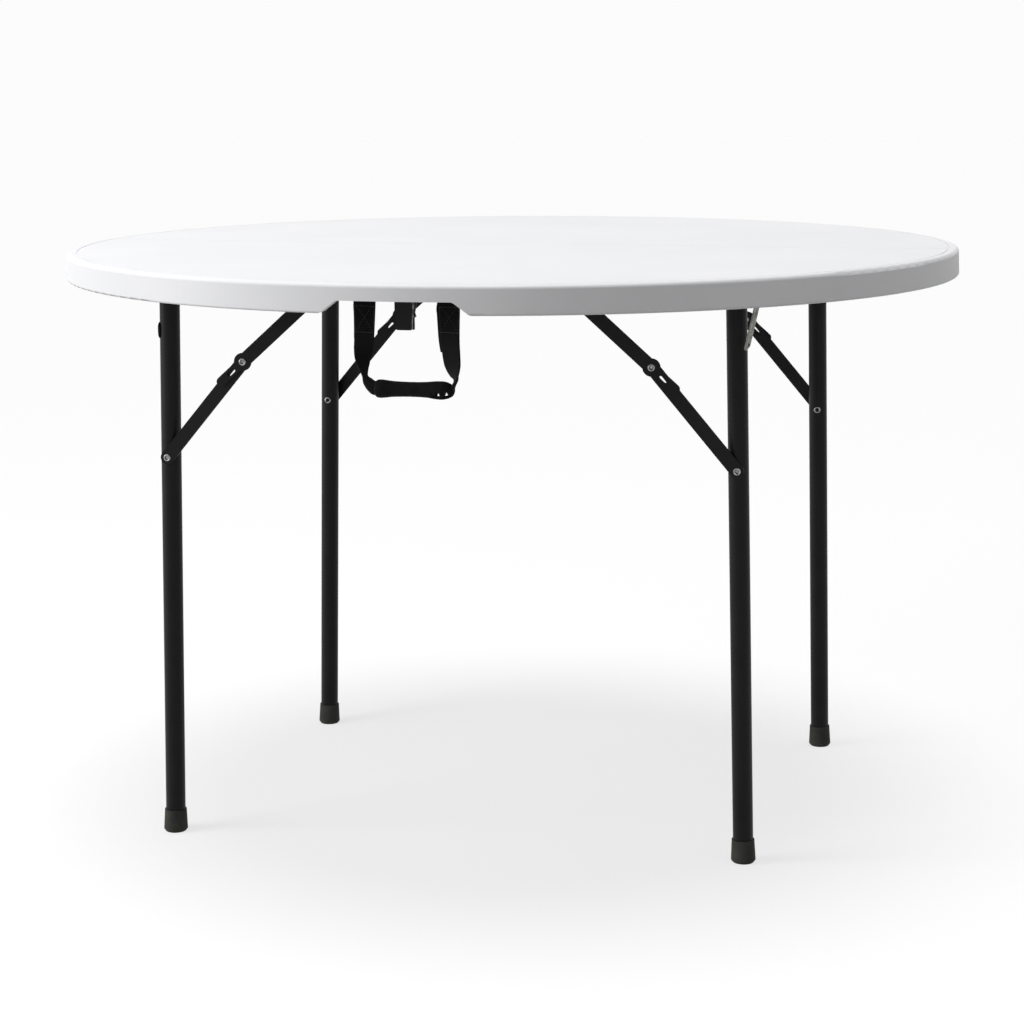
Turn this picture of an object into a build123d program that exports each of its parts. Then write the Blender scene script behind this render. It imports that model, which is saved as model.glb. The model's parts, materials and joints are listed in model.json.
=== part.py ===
from build123d import *
import os
from math import atan2, cos, degrees, hypot, radians, sin, sqrt, tan

# Round folding table: two moulded half tops hinged along X, four legs that swing in under them.
# The origin is on the floor under the middle of the top, +Z up, the fold line along X, the handle at -Y.
# The back half is the front half turned half a turn about Z.

os.makedirs("parts", exist_ok=True)

half_turn = 180
quarter_turn = 90
halving_steps = 40

# Whole table
top_diameter = 1150.0
table_height = 740.0
cut_overrun = 2.0
pin_clearance = 0.05
sliding_gap = 0.3

# Moulded top
deck_thickness = 9.0
rim_depth = 33.0
rim_width = 18.0
rim_draft_angle = 2.5
rim_top_radius = 5.0
rim_foot_radius = 2.5
deck_line_inset = 13.0
deck_line_width = 1.6
deck_line_depth = 0.8
seam_gap = 1.0
seam_wall_width = 30.0
notch_top_width = 130.0
notch_flare = 19.0
notch_height = 14.5
notch_top_radius = 7.0
notch_foot_radius = 9.0

# Fold hinge at each end of the seam: two pivots with a link between them
seam_hinge_inset = 145.0
seam_pivot_drop = 31.0
seam_pivot_inset = 12.0
seam_pocket_width = 40.0
seam_link_width = 16.0
seam_link_thickness = 4.0
seam_ear_thickness = 2.5
seam_ear_width = 16.0
seam_plate_thickness = 2.0
seam_plate_length = 34.0
seam_plate_inset = 2.0
seam_plate_width = 27.0
seam_screw_spacing = 24.0
seam_pin_radius = 3.0
seam_pin_head_radius = 5.0
seam_pin_head_height = 1.5

# Legs
tube_radius = 12.5
tube_wall = 1.2
leg_hinge_drop = 26.0
leg_splay_angle = 1.44
outer_leg_side_inset = 203.0
outer_leg_front_inset = 303.0
inner_leg_side_inset = 250.0
leg_stagger = 35.0
leg_head_height = 7.5
leg_pin_radius = 4.0
leg_pin_head_radius = 6.5
leg_pin_head_height = 1.4
foot_cap_height = 30.0
foot_cap_top_radius = 14.0
foot_cap_foot_radius = 15.3
foot_cap_edge = 3.0
foot_cap_sole = 4.0
foot_cap_surplus = 1.0
leg_pad_drop = 64.0
leg_pad_height = 22.0
leg_pad_thickness = 1.6
leg_pad_span_angle = 100

# Leg bracket, folded from sheet
leg_plate_thickness = 1.6
leg_plate_length = 60.0
leg_ear_thickness = 1.6
leg_ear_gap = 29.6
leg_ear_width = 30.0
leg_ear_drop = 15.0
leg_ear_corner_radius = 6.0
leg_screw_spacing = 44.0

# Two-link brace
link_width = 17.0
link_thickness = 2.0
lower_link_gap = 0.4
upper_link_gap = 0.2
brace_rivet_along_leg = 222.0
brace_anchor_inboard = 206.0
brace_anchor_drop = 3.0
knee_bend_angle = 8.1
link_tail_length = 38.0
link_tail_width = 12.0
knee_eye_radius = 11.0
link_slot_length = 12.0
link_slot_width = 5.0
link_slot_from_knee = 20.0
rivet_radius = 3.0
rivet_head_radius = 4.6
rivet_head_height = 1.5

# Brace anchor, an angle bracket under the deck
anchor_plate_thickness = 1.8
anchor_plate_width = 26.0
anchor_eye_radius = 10.0
anchor_flange_thickness = 2.0
anchor_flange_reach = 8.0
anchor_screw_spacing = 16.0

# Screws
screw_radius = 2.0
screw_head_radius = 3.6
screw_head_height = 1.2
screw_bite = 6.0
screw_sides = 6

# Steel wire keeper beside each inner leg
keeper_beyond_leg = 36.0
keeper_drop = 15.0
keeper_wire_radius = 1.75
keeper_width = 32.0
keeper_length = 84.0
keeper_lean_angle = 12.4
keeper_bend_radius = 4.0
keeper_wire_sides = 8
keeper_pin_length = 9.0
saddle_length = 16.0
saddle_width = 22.0
saddle_depth = 11.0
saddle_web = 2.0

# Carry handle
handle_setback = 37.0
handle_pivot_drop = 15.0
handle_rod_radius = 2.5
handle_rod_surplus = 2.0
strap_offset = 48.0
strap_width = 25.0
strap_thickness = 2.0
strap_loop_clearance = 0.3
strap_entry = 5.6
grip_length = 88.0
grip_shift = 8.0
grip_drop = 105.0
grip_end_radius = 10.2
grip_waist_radius = 8.3
grip_edge = 3.0
grip_knob_length = 14.0
grip_slope_length = 12.0
handle_lug_thickness = 3.0
handle_lug_gap = 2.0
handle_lug_depth = 5.0
handle_lug_edge = 2.0
handle_plate_thickness = 1.5
handle_plate_depth = 16.0
handle_plate_setback = 6.0
handle_screw_spacing = 96.0

# Latch blade on the front half and its catch on the back half
latch_width = 21.0
latch_thickness = 3.0
latch_setback = 29.5
latch_depth = 45.0
latch_flange_length = 16.0
latch_flange_thickness = 2.0
latch_tip_radius = 4.0
latch_screw_setback = 10.0
latch_strip_width = 4.0
latch_strip_offset = 6.5
latch_strip_thickness = 0.8
latch_strip_margin = 3.0
catch_width = 40.0
catch_depth = 19.0
catch_height = 32.0
catch_slot_clearance = 1.5
catch_slot_depth = 13.0
catch_flange_width = 64.0
catch_flange_thickness = 3.0
catch_screw_spacing = 52.0

# Worked out from the sizes above
top_radius = top_diameter / 2
rim_inner_radius = top_radius - rim_width
deck_underside = table_height - deck_thickness
rim_bottom = table_height - rim_depth
seam_edge = seam_gap / 2
seam_hinge_offset = top_radius - seam_hinge_inset
notch_foot_width = notch_top_width + 2 * notch_flare
seam_pivot_z = table_height - seam_pivot_drop
leg_hinge_z = table_height - leg_hinge_drop
leg_to_deck = leg_hinge_drop - deck_thickness
leg_length = leg_hinge_z / cos(radians(leg_splay_angle))
outer_leg_hinge_x = top_radius - outer_leg_side_inset
outer_leg_y = top_radius - outer_leg_front_inset
inner_leg_hinge_x = top_radius - inner_leg_side_inset
inner_leg_y = outer_leg_y - leg_stagger
leg_ear_inner = leg_ear_gap / 2
leg_ear_outer = leg_ear_inner + leg_ear_thickness
lower_link_inner = tube_radius + lower_link_gap
lower_link_outer = lower_link_inner + link_thickness
upper_link_inner = lower_link_outer + upper_link_gap
upper_link_outer = upper_link_inner + link_thickness
anchor_plate_inner = upper_link_outer + upper_link_gap
anchor_plate_outer = anchor_plate_inner + anchor_plate_thickness
brace_rivet_x = -brace_rivet_along_leg * sin(radians(leg_splay_angle))
brace_rivet_z = -brace_rivet_along_leg * cos(radians(leg_splay_angle))
handle_y = rim_inner_radius - handle_setback
strap_pivot_z = table_height - handle_pivot_drop
keeper_x = inner_leg_hinge_x + keeper_beyond_leg
keeper_z = table_height - keeper_drop
latch_y = rim_inner_radius - latch_setback
latch_tip_z = deck_underside - latch_depth


def link_lengths(folded_knee):
    """Lower and upper link, from how far along the folded leg the knee comes to lie."""
    lower = brace_rivet_along_leg - folded_knee
    upper = hypot(brace_anchor_inboard - folded_knee, brace_anchor_drop)
    return lower, upper


def opened_reach(folded_knee):
    """Distance that the two links span when the knee is bent by its small angle."""
    lower, upper = link_lengths(folded_knee)
    return sqrt(lower**2 + upper**2 + 2 * lower * upper * cos(radians(knee_bend_angle)))


def knee_place():
    """Where the two links meet with the leg down, in the leg's own frame.

    The links must span from rivet to anchor with the leg down and lie along the leg when it
    is folded; halving steps find the knee that does both.
    """
    across = brace_anchor_inboard - brace_rivet_x
    rise = -brace_anchor_drop - brace_rivet_z
    span = hypot(across, rise)
    folded_knee = step = brace_anchor_inboard / 2
    for _ in range(halving_steps):
        step /= 2
        folded_knee += step if opened_reach(folded_knee) > span else -step
    lower, upper = link_lengths(folded_knee)
    along = (lower**2 - upper**2 + span**2) / (2 * span)
    aside = sqrt(lower**2 - along**2)
    x = brace_rivet_x + (across * along - rise * aside) / span
    z = brace_rivet_z + (rise * along + across * aside) / span
    return x, z


knee_x, knee_z = knee_place()


def rounded_outline(points, radii):
    """A closed face through points, with one corner radius for each."""
    return make_face(FilletPolyline(*points, radius=radii, close=True))


def block(low, high):
    """A box between two corners."""
    size = [b - a for a, b in zip(low, high)]
    middle = [(a + b) / 2 for a, b in zip(low, high)]
    return Pos(*middle) * Box(*size)


def plate_outward(sketch, inner, thickness):
    """Extrudes a sketch in X and Z from the distance inner outward, along -Y."""
    return extrude(Plane.XZ.offset(inner) * sketch, thickness)


def cross_pin(radius, inner, outer, x, z):
    """A plain cylinder along Y between two distances outward."""
    return plate_outward(Pos(x, z) * Circle(radius), inner, outer - inner)


def headed_pin(radius, length, head_radius, head_height):
    """A pin from the XY plane up, with a low tapered head on top."""
    points = [
        (0, 0),
        (radius, 0),
        (radius, length),
        (head_radius, length),
        (head_radius - head_height / 2, length + head_height),
        (0, length + head_height),
    ]
    return revolve(Plane.XZ * make_face(Polyline(*points, close=True)), Axis.Z)


def rivet(inner, outer, x, z):
    """A rivet along -Y whose tail is flush at inner and whose head is past outer."""
    body = headed_pin(rivet_radius, outer - inner, rivet_head_radius, rivet_head_height)
    return Pos(x, -inner, z) * Rot(quarter_turn, 0, 0) * body


def link_outline(start, end, width):
    """A straight bar with round ends about two points."""
    run_x = end[0] - start[0]
    run_z = end[1] - start[1]
    middle = Pos((start[0] + end[0]) / 2, (start[1] + end[1]) / 2)
    turn = Rot(0, 0, degrees(atan2(run_z, run_x)))
    return middle * turn * SlotCenterToCenter(hypot(run_x, run_z), width)


def screw(plate_thickness):
    """A hexagon-headed screw up through a plate whose underside is the XY plane."""
    head = extrude(RegularPolygon(screw_head_radius, screw_sides), -screw_head_height)
    return head + extrude(RegularPolygon(screw_radius, screw_sides), plate_thickness + screw_bite)


def screw_under(x, y, plate_thickness):
    """A screw up into the deck through a plate of the given thickness."""
    return Pos(x, y, deck_underside - plate_thickness) * screw(plate_thickness)


def pair_along_x(x, y, spacing, plate_thickness):
    return [screw_under(x + side * spacing / 2, y, plate_thickness) for side in (-1, 1)]


def outer_leg(shape):
    """Puts a part made in the leg's own frame at the front left leg."""
    return Pos(-outer_leg_hinge_x, -outer_leg_y, leg_hinge_z) * shape


def inner_leg(shape):
    """Puts a part made in the leg's own frame at the front right leg, mirrored."""
    return Pos(inner_leg_hinge_x, -inner_leg_y, leg_hinge_z) * mirror(shape, about=Plane.YZ)


def to_back(shape):
    """Turns a part of the front half into the one of the back half."""
    return Rot(0, 0, half_turn) * shape


def leg_screws():
    leg_pairs = ((-outer_leg_hinge_x, outer_leg_y), (inner_leg_hinge_x, inner_leg_y))
    found = []
    for x, y in leg_pairs:
        found += pair_along_x(x, -y, leg_screw_spacing, leg_plate_thickness)
    return found


def anchor_screws():
    anchor_pairs = (
        (brace_anchor_inboard - outer_leg_hinge_x, outer_leg_y),
        (inner_leg_hinge_x - brace_anchor_inboard, inner_leg_y),
    )
    found = []
    for x, y in anchor_pairs:
        found += pair_along_x(x, -y, anchor_screw_spacing, anchor_flange_thickness)
    return found


def seam_screws():
    y = -seam_plate_inset - seam_plate_width / 2
    found = []
    for x in (-seam_hinge_offset, seam_hinge_offset):
        found += pair_along_x(x, y, seam_screw_spacing, seam_plate_thickness)
    return found


def keeper_screws():
    return [screw_under(keeper_x, -outer_leg_y, saddle_web)]


def shared_screws():
    return leg_screws() + anchor_screws() + seam_screws()


def handle_screws():
    y = -handle_y + handle_plate_setback + handle_plate_depth / 2
    return pair_along_x(0, y, handle_screw_spacing, handle_plate_thickness)


def latch_screws():
    y = -latch_y - latch_thickness / 2 - latch_screw_setback
    return [screw_under(0, y, latch_flange_thickness)]


def catch_screws():
    """Drawn at the front; they are turned to the back with the catch."""
    return pair_along_x(0, -latch_y, catch_screw_spacing, catch_flange_thickness)


def notch_cut():
    """The wide shallow notch in the lower edge of the rim, for the hand and the straps."""
    half_top = notch_top_width / 2
    half_foot = notch_foot_width / 2
    beyond = half_foot + 2 * notch_foot_radius
    low = rim_bottom - cut_overrun
    high = rim_bottom + notch_height
    points = [
        (-beyond, low),
        (-beyond, rim_bottom),
        (-half_foot, rim_bottom),
        (-half_top, high),
        (half_top, high),
        (half_foot, rim_bottom),
        (beyond, rim_bottom),
        (beyond, low),
    ]
    radii = [0, 0, notch_foot_radius, notch_top_radius, notch_top_radius, notch_foot_radius, 0, 0]
    reach = 2 * rim_width + cut_overrun
    outline = rounded_outline(points, radii)
    return plate_outward(outline, top_radius + cut_overrun - reach, reach)


def round_top():
    """The whole disc with its turned-down rim, before it is split at the fold line."""
    draft = rim_depth * tan(radians(rim_draft_angle))
    points = [
        (0, table_height),
        (top_radius - draft, table_height),
        (top_radius, rim_bottom),
        (rim_inner_radius, rim_bottom),
        (rim_inner_radius, deck_underside),
        (0, deck_underside),
    ]
    radii = [0, rim_top_radius, rim_foot_radius, rim_foot_radius, rim_top_radius, 0]
    return revolve(Plane.XZ * rounded_outline(points, radii), Axis.Z)


def deck_line():
    """The fine line that runs round the top just inside the rim."""
    outer = top_radius - deck_line_inset
    low = table_height - deck_line_depth
    depth = deck_line_depth + cut_overrun
    ring = Circle(outer) - Circle(outer - deck_line_width)
    return Pos(0, 0, low) * extrude(ring, depth)


def half_top_body():
    """Front half: deck, rim, seam wall with hinge pockets, and the notch."""
    keep = block(
        (-top_radius, -top_radius, rim_bottom - cut_overrun),
        (top_radius, -seam_edge, table_height + cut_overrun),
    )
    body = round_top() & keep
    wall_reach = rim_inner_radius + rim_width / 2
    wall_back = -seam_edge - seam_wall_width
    body += block((-wall_reach, wall_back, rim_bottom), (wall_reach, -seam_edge, deck_underside))
    body -= deck_line()
    body -= notch_cut()
    half_pocket = seam_pocket_width / 2
    for x in (-seam_hinge_offset, seam_hinge_offset):
        low = (x - half_pocket, wall_back - cut_overrun, rim_bottom - cut_overrun)
        body -= block(low, (x + half_pocket, 0, deck_underside))
    for one in shared_screws() + keeper_screws():
        body -= one
    return body


def top_half_front():
    body = half_top_body()
    for one in handle_screws() + latch_screws():
        body -= one
    return body


def top_half_back():
    body = half_top_body()
    for one in catch_screws():
        body -= one
    return to_back(body)


def leg_pin():
    """Pin through both ears of the leg bracket, riveted flush inboard, in the leg's own frame."""
    body = headed_pin(leg_pin_radius, 2 * leg_ear_outer, leg_pin_head_radius, leg_pin_head_height)
    return Pos(0, leg_ear_outer, 0) * Rot(quarter_turn, 0, 0) * body


def leg_bracket():
    """Sheet bracket: a plate under the deck with an ear on each side of the tube."""
    half_length = leg_plate_length / 2
    half_ear = leg_ear_width / 2
    plate_low = leg_to_deck - leg_plate_thickness
    body = block((-half_length, -leg_ear_outer, plate_low), (half_length, leg_ear_outer, leg_to_deck))
    points = [(-half_ear, leg_to_deck), (-half_ear, -leg_ear_drop), (half_ear, -leg_ear_drop), (half_ear, leg_to_deck)]
    outline = rounded_outline(points, [0, leg_ear_corner_radius, leg_ear_corner_radius, 0])
    body += plate_outward(outline, leg_ear_inner, leg_ear_thickness)
    body += plate_outward(outline, -leg_ear_outer, leg_ear_thickness)
    for side in (-1, 1):
        body -= Pos(side * leg_screw_spacing / 2, 0, plate_low) * screw(leg_plate_thickness)
    return body - leg_pin()


def leg_tube():
    """Round tube, cut square just above the pin, splayed outward."""
    length = leg_head_height + leg_length - foot_cap_sole
    ring = Circle(tube_radius) - Circle(tube_radius - tube_wall)
    body = Pos(0, 0, leg_head_height - length) * extrude(ring, length)
    reach = tube_radius + cut_overrun
    body -= cross_pin(leg_pin_radius + pin_clearance, -reach, reach, 0, 0)
    body -= cross_pin(rivet_radius, 0, reach, 0, -brace_rivet_along_leg)
    return Rot(0, leg_splay_angle, 0) * body


def foot_cap():
    """Rubber cap that flares a little to a bevelled foot and stands flat on the floor."""
    top = foot_cap_height - foot_cap_surplus
    points = [
        (0, -foot_cap_surplus),
        (foot_cap_foot_radius - foot_cap_edge, -foot_cap_surplus),
        (foot_cap_foot_radius, foot_cap_edge),
        (foot_cap_top_radius, top),
        (tube_radius, top),
        (tube_radius, foot_cap_sole),
        (0, foot_cap_sole),
    ]
    body = revolve(Plane.XZ * make_face(Polyline(*points, close=True)), Axis.Z)
    body = Rot(0, leg_splay_angle, 0) * Pos(0, 0, -leg_length) * body
    wide = 2 * foot_cap_height + 2 * leg_length * tan(radians(leg_splay_angle))
    floor_cut = Box(wide, wide, wide, align=(Align.CENTER, Align.CENTER, Align.MAX))
    return body - Pos(0, 0, -leg_hinge_z) * floor_cut


def leg_pad():
    """Small pad on the outer side of a leg, just under the rim."""
    outer = Circle(tube_radius + leg_pad_thickness)
    ring = outer - Circle(tube_radius)
    reach = 2 * tube_radius
    spread = reach * tan(radians(leg_pad_span_angle / 2))
    wedge = make_face(Polyline((0, 0), (-reach, spread), (-reach, -spread), close=True))
    body = extrude(ring & wedge, leg_pad_height)
    body = Pos(0, 0, -leg_pad_drop - leg_pad_height / 2) * body
    return Rot(0, leg_splay_angle, 0) * body


def slot_in_link(start, knee, from_knee):
    """The long hole in a link, on its centre line, from_knee away from the knee."""
    run = hypot(start[0] - knee[0], start[1] - knee[1])
    along_x = (start[0] - knee[0]) / run
    along_z = (start[1] - knee[1]) / run
    place = Pos(knee[0] + from_knee * along_x, knee[1] + from_knee * along_z)
    turn = Rot(0, 0, degrees(atan2(along_z, along_x)))
    return place * turn * SlotOverall(link_slot_length, link_slot_width)


def lower_link():
    """Flat link from the leg to the knee."""
    foot = (brace_rivet_x, brace_rivet_z)
    knee = (knee_x, knee_z)
    outline = link_outline(foot, knee, link_width)
    outline -= Pos(*foot) * Circle(rivet_radius + pin_clearance)
    outline -= Pos(*knee) * Circle(rivet_radius + pin_clearance)
    outline -= slot_in_link(foot, knee, link_slot_from_knee)
    return plate_outward(outline, lower_link_inner, link_thickness)


def upper_link():
    """Flat link from the anchor past the knee, ending in a narrower tail with a slot."""
    anchor = (brace_anchor_inboard, -brace_anchor_drop)
    knee = (knee_x, knee_z)
    run = hypot(anchor[0] - knee[0], anchor[1] - knee[1])
    tail_end = (
        knee[0] - (anchor[0] - knee[0]) * link_tail_length / run,
        knee[1] - (anchor[1] - knee[1]) * link_tail_length / run,
    )
    outline = link_outline(anchor, knee, link_width)
    outline += Pos(*knee) * Circle(knee_eye_radius)
    outline += link_outline(knee, tail_end, link_tail_width)
    outline -= Pos(*anchor) * Circle(rivet_radius + pin_clearance)
    outline -= Pos(*knee) * Circle(rivet_radius)
    outline -= slot_in_link(anchor, knee, -link_slot_from_knee)
    return plate_outward(outline, upper_link_inner, link_thickness)


def brace_rivet():
    """Rivet from the tube through the foot of the lower link."""
    return rivet(tube_radius - tube_wall, lower_link_outer, brace_rivet_x, brace_rivet_z)


def knee_rivet():
    """Rivet in the eye of the upper link, flush where it meets the lower link."""
    return rivet(upper_link_inner, upper_link_outer, knee_x, knee_z)


def anchor_rivet():
    return rivet(upper_link_inner, anchor_plate_outer, brace_anchor_inboard, -brace_anchor_drop)


def brace_anchor():
    """Angle bracket: a flange under the deck and a plate down to the upper link."""
    x = brace_anchor_inboard
    half_width = anchor_plate_width / 2
    eye = -brace_anchor_drop
    plate = make_face(
        Polyline(
            (x - half_width, leg_to_deck),
            (x - anchor_eye_radius, eye),
            (x + anchor_eye_radius, eye),
            (x + half_width, leg_to_deck),
            close=True,
        )
    )
    plate += Pos(x, eye) * Circle(anchor_eye_radius)
    body = plate_outward(plate, anchor_plate_inner, anchor_plate_thickness)
    low = leg_to_deck - anchor_flange_thickness
    body += block(
        (x - half_width, -anchor_plate_outer, low),
        (x + half_width, anchor_flange_reach, leg_to_deck),
    )
    for side in (-1, 1):
        body -= Pos(x + side * anchor_screw_spacing / 2, 0, low) * screw(anchor_flange_thickness)
    return body - anchor_rivet()


def seam_pin():
    """Pin along X through both ears of a seam bracket, riveted flush at one end."""
    half = seam_link_thickness / 2 + sliding_gap + seam_ear_thickness
    body = headed_pin(seam_pin_radius, 2 * half, seam_pin_head_radius, seam_pin_head_height)
    return Rot(0, quarter_turn, 0) * Pos(0, 0, -half) * body


def seam_bracket():
    """Bracket in the pocket of the seam wall, about the pivot of the front half."""
    to_deck = seam_pivot_drop - deck_thickness
    near = seam_pivot_inset - seam_plate_inset
    far = near - seam_plate_width
    half_plate = seam_plate_length / 2
    low = to_deck - seam_plate_thickness
    body = block((-half_plate, far, low), (half_plate, near, to_deck))
    half_ear = seam_ear_width / 2
    for side in (-1, 1):
        inner = seam_link_thickness / 2 + sliding_gap
        middle = side * (inner + seam_ear_thickness / 2)
        ear = Rectangle(seam_ear_width, to_deck, align=(Align.CENTER, Align.MIN))
        ear += Circle(half_ear)
        slab = extrude(Plane.YZ * ear, seam_ear_thickness / 2, both=True)
        body += Pos(middle, 0, 0) * slab
    y = near - seam_plate_width / 2
    for side in (-1, 1):
        body -= Pos(side * seam_screw_spacing / 2, y, low) * screw(seam_plate_thickness)
    return body - seam_pin()


def both_ends(shape):
    """One copy at each end of the seam, at the front pivot."""
    places = [Pos(x, -seam_pivot_inset, seam_pivot_z) for x in (-seam_hinge_offset, seam_hinge_offset)]
    return Compound([place * shape for place in places])


def hinge_link():
    """Flat link between the two pivots of one end, about the middle between them."""
    outline = SlotCenterToCenter(2 * seam_pivot_inset, seam_link_width)
    for side in (-1, 1):
        outline -= Pos(side * seam_pivot_inset, 0) * Circle(seam_pin_radius + pin_clearance)
    return extrude(Plane.YZ * outline, seam_link_thickness / 2, both=True)


def keeper_hinge():
    """A cylinder along Y where the wire turns in its saddle."""
    reach = saddle_width / 2 + cut_overrun
    deep = keeper_width / 2 - keeper_pin_length - pin_clearance
    bore = cross_pin(keeper_wire_radius + pin_clearance, deep - sliding_gap, reach, 0, 0)
    return bore + mirror(bore, about=Plane.XZ)


def keeper_saddle():
    """Block under the deck that carries the wire keeper's two inturned ends."""
    half_length = saddle_length / 2
    half_width = saddle_width / 2
    to_deck = deck_underside - keeper_z
    low = to_deck - saddle_depth
    body = block((-half_length, -half_width, low), (half_length, half_width, to_deck))
    body = fillet(body.edges().filter_by(Axis.Y).group_by(Axis.Z)[0], keeper_wire_radius)
    body -= keeper_hinge()
    well = extrude(RegularPolygon(screw_head_radius, screw_sides), -saddle_depth)
    body -= Pos(0, 0, to_deck - saddle_web) * well
    body -= Pos(0, 0, to_deck - saddle_web) * screw(saddle_web)
    return Pos(keeper_x, -outer_leg_y, keeper_z) * body


def keeper_wire():
    """U of bent wire that hangs from the saddle and leans towards the leg."""
    half = keeper_width / 2
    tip = half - keeper_pin_length
    points = [
        (0, tip, 0),
        (0, half, 0),
        (0, half, -keeper_length),
        (0, -half, -keeper_length),
        (0, -half, 0),
        (0, -tip, 0),
    ]
    path = FilletPolyline(*points, radius=keeper_bend_radius)
    section = RegularPolygon(keeper_wire_radius, keeper_wire_sides)
    section = Plane(origin=path @ 0, z_dir=path % 0) * section
    body = sweep(section, path=path)
    return Pos(keeper_x, -outer_leg_y, keeper_z) * Rot(0, keeper_lean_angle, 0) * body


def lug_places():
    """Middles of the four lugs on both sides of the two straps, along X."""
    from_strap = strap_width / 2 + handle_lug_gap + handle_lug_thickness / 2
    return [
        side * strap_offset + edge * from_strap
        for side in (-1, 1)
        for edge in (-1, 1)
    ]


def handle_rod():
    """Steel rod that the two straps are looped over."""
    half = lug_places()[-1] + handle_lug_thickness / 2 + handle_rod_surplus
    rod = Rot(0, quarter_turn, 0) * Cylinder(handle_rod_radius, 2 * half)
    return Pos(0, -handle_y, strap_pivot_z) * rod


def handle_anchor():
    """Plate behind the rod with four lugs that hold it under the deck."""
    half = lug_places()[-1] + handle_lug_thickness / 2
    back = -handle_y + handle_plate_setback
    body = block(
        (-half, back, deck_underside - handle_plate_thickness),
        (half, back + handle_plate_depth, deck_underside),
    )
    low = strap_pivot_z - handle_lug_depth
    points = [
        (-handle_y - handle_lug_depth, deck_underside),
        (-handle_y - handle_lug_depth, low + handle_lug_edge),
        (-handle_y - handle_lug_depth + handle_lug_edge, low),
        (-handle_y + handle_lug_depth, low),
        (back + handle_plate_depth, deck_underside),
    ]
    lug = make_face(Polyline(*points, close=True))
    half_lug = handle_lug_thickness / 2
    for x in lug_places():
        body += Pos(x - half_lug, 0, 0) * extrude(Plane.YZ * lug, handle_lug_thickness)
    for one in handle_screws():
        body -= one
    return body + handle_rod()


# Along the strap from its loop to the grip: drop, width, thickness, turn and sideways shift, as shares of
# the grip's drop, the strap's width, its width again, a quarter turn, and the way in to the grip's end.
left_strap_shares = (
    (0.045, 1.00, 0.11, 0.00, 0.00),
    (0.310, 0.97, 0.11, 0.02, -0.03),
    (0.470, 0.90, 0.13, 0.07, -0.11),
    (0.600, 0.80, 0.15, 0.18, -0.24),
    (0.720, 0.60, 0.19, 0.42, -0.27),
    (0.830, 0.42, 0.22, 0.76, -0.08),
    (0.900, 0.40, 0.24, 1.07, 0.30),
    (0.955, 0.34, 0.30, 1.33, 1.00),
)
right_strap_shares = (
    (0.045, 1.00, 0.11, 0.00, 0.00),
    (0.370, 0.92, 0.13, -0.07, 0.09),
    (0.520, 0.86, 0.14, -0.13, 0.19),
    (0.660, 0.76, 0.17, -0.24, 0.35),
    (0.760, 0.60, 0.20, -0.44, 0.58),
    (0.860, 0.42, 0.22, -0.69, 0.85),
    (0.920, 0.38, 0.26, -0.90, 0.95),
    (0.960, 0.34, 0.30, -1.00, 1.00),
)


def strap(side, shares):
    """Webbing from a loop over the rod, gathered and twisted down into the end of the grip."""
    start = side * strap_offset
    end = grip_shift + side * (grip_length / 2 + strap_entry)
    sections = []
    for drop_share, width_share, thick_share, turn_share, shift_share in shares:
        x = start + (end - start) * shift_share
        z = strap_pivot_z - grip_drop * drop_share
        outline = Rectangle(strap_width * width_share, strap_width * thick_share)
        turned = Rot(0, 0, quarter_turn * turn_share) * outline
        sections.append(Pos(x, -handle_y, z) * turned)
    body = loft(sections, ruled=True)
    grip_z = strap_pivot_z - grip_drop
    neck_radius = strap_width * shares[-1][2] / 2
    neck_top = strap_pivot_z - grip_drop * shares[-1][0]
    neck = Cylinder(neck_radius, neck_top - grip_z, align=(Align.CENTER, Align.CENTER, Align.MIN))
    body += Pos(end, -handle_y, grip_z) * neck
    entry = Rot(0, quarter_turn, 0) * Cylinder(neck_radius, strap_entry)
    body += Pos(end - side * strap_entry / 2, -handle_y, grip_z) * entry
    body += Pos(end, -handle_y, grip_z) * Sphere(neck_radius)
    inner = handle_rod_radius + strap_loop_clearance
    loop = Circle(inner + strap_thickness) - Circle(inner)
    loop = extrude(Plane.YZ * loop, strap_width / 2, both=True)
    body += Pos(start, -handle_y, strap_pivot_z) * loop
    bore = Rot(0, quarter_turn, 0) * Cylinder(inner, strap_width + cut_overrun)
    return body - Pos(start, -handle_y, strap_pivot_z) * bore


def handle_grip():
    """Padded bar with knobbed ends and a slimmer waist."""
    half = grip_length / 2
    knob = half - grip_knob_length
    waist = knob - grip_slope_length
    right = [
        (waist, grip_waist_radius),
        (knob, grip_end_radius),
        (half - grip_edge, grip_end_radius),
        (half, grip_end_radius - grip_edge),
        (half, 0),
    ]
    left = [(-x, radius) for x, radius in reversed(right)]
    body = revolve(make_face(Polyline(*left, *right, close=True)), Axis.X)
    return Pos(grip_shift, -handle_y, strap_pivot_z - grip_drop) * body


def latch_plate():
    """Blade that hangs from the deck between the straps, with a flange towards the rim."""
    half = latch_width / 2
    points = [(-half, deck_underside), (-half, latch_tip_z), (half, latch_tip_z), (half, deck_underside)]
    outline = rounded_outline(points, [0, latch_tip_radius, latch_tip_radius, 0])
    inner = latch_y - latch_thickness / 2
    body = plate_outward(outline, inner, latch_thickness)
    outer = inner + latch_thickness
    body += block(
        (-half, -outer - latch_flange_length, deck_underside - latch_flange_thickness),
        (half, -outer, deck_underside),
    )
    for one in latch_screws():
        body -= one
    return body


def latch_strip():
    """Bright spring strip on the blade's face, near its right edge."""
    low = latch_tip_z + latch_strip_margin
    high = deck_underside - latch_flange_thickness - latch_strip_margin
    face = latch_y + latch_thickness / 2
    return block(
        (latch_strip_offset - latch_strip_width / 2, -face - latch_strip_thickness, low),
        (latch_strip_offset + latch_strip_width / 2, -face, high),
    )


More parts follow.
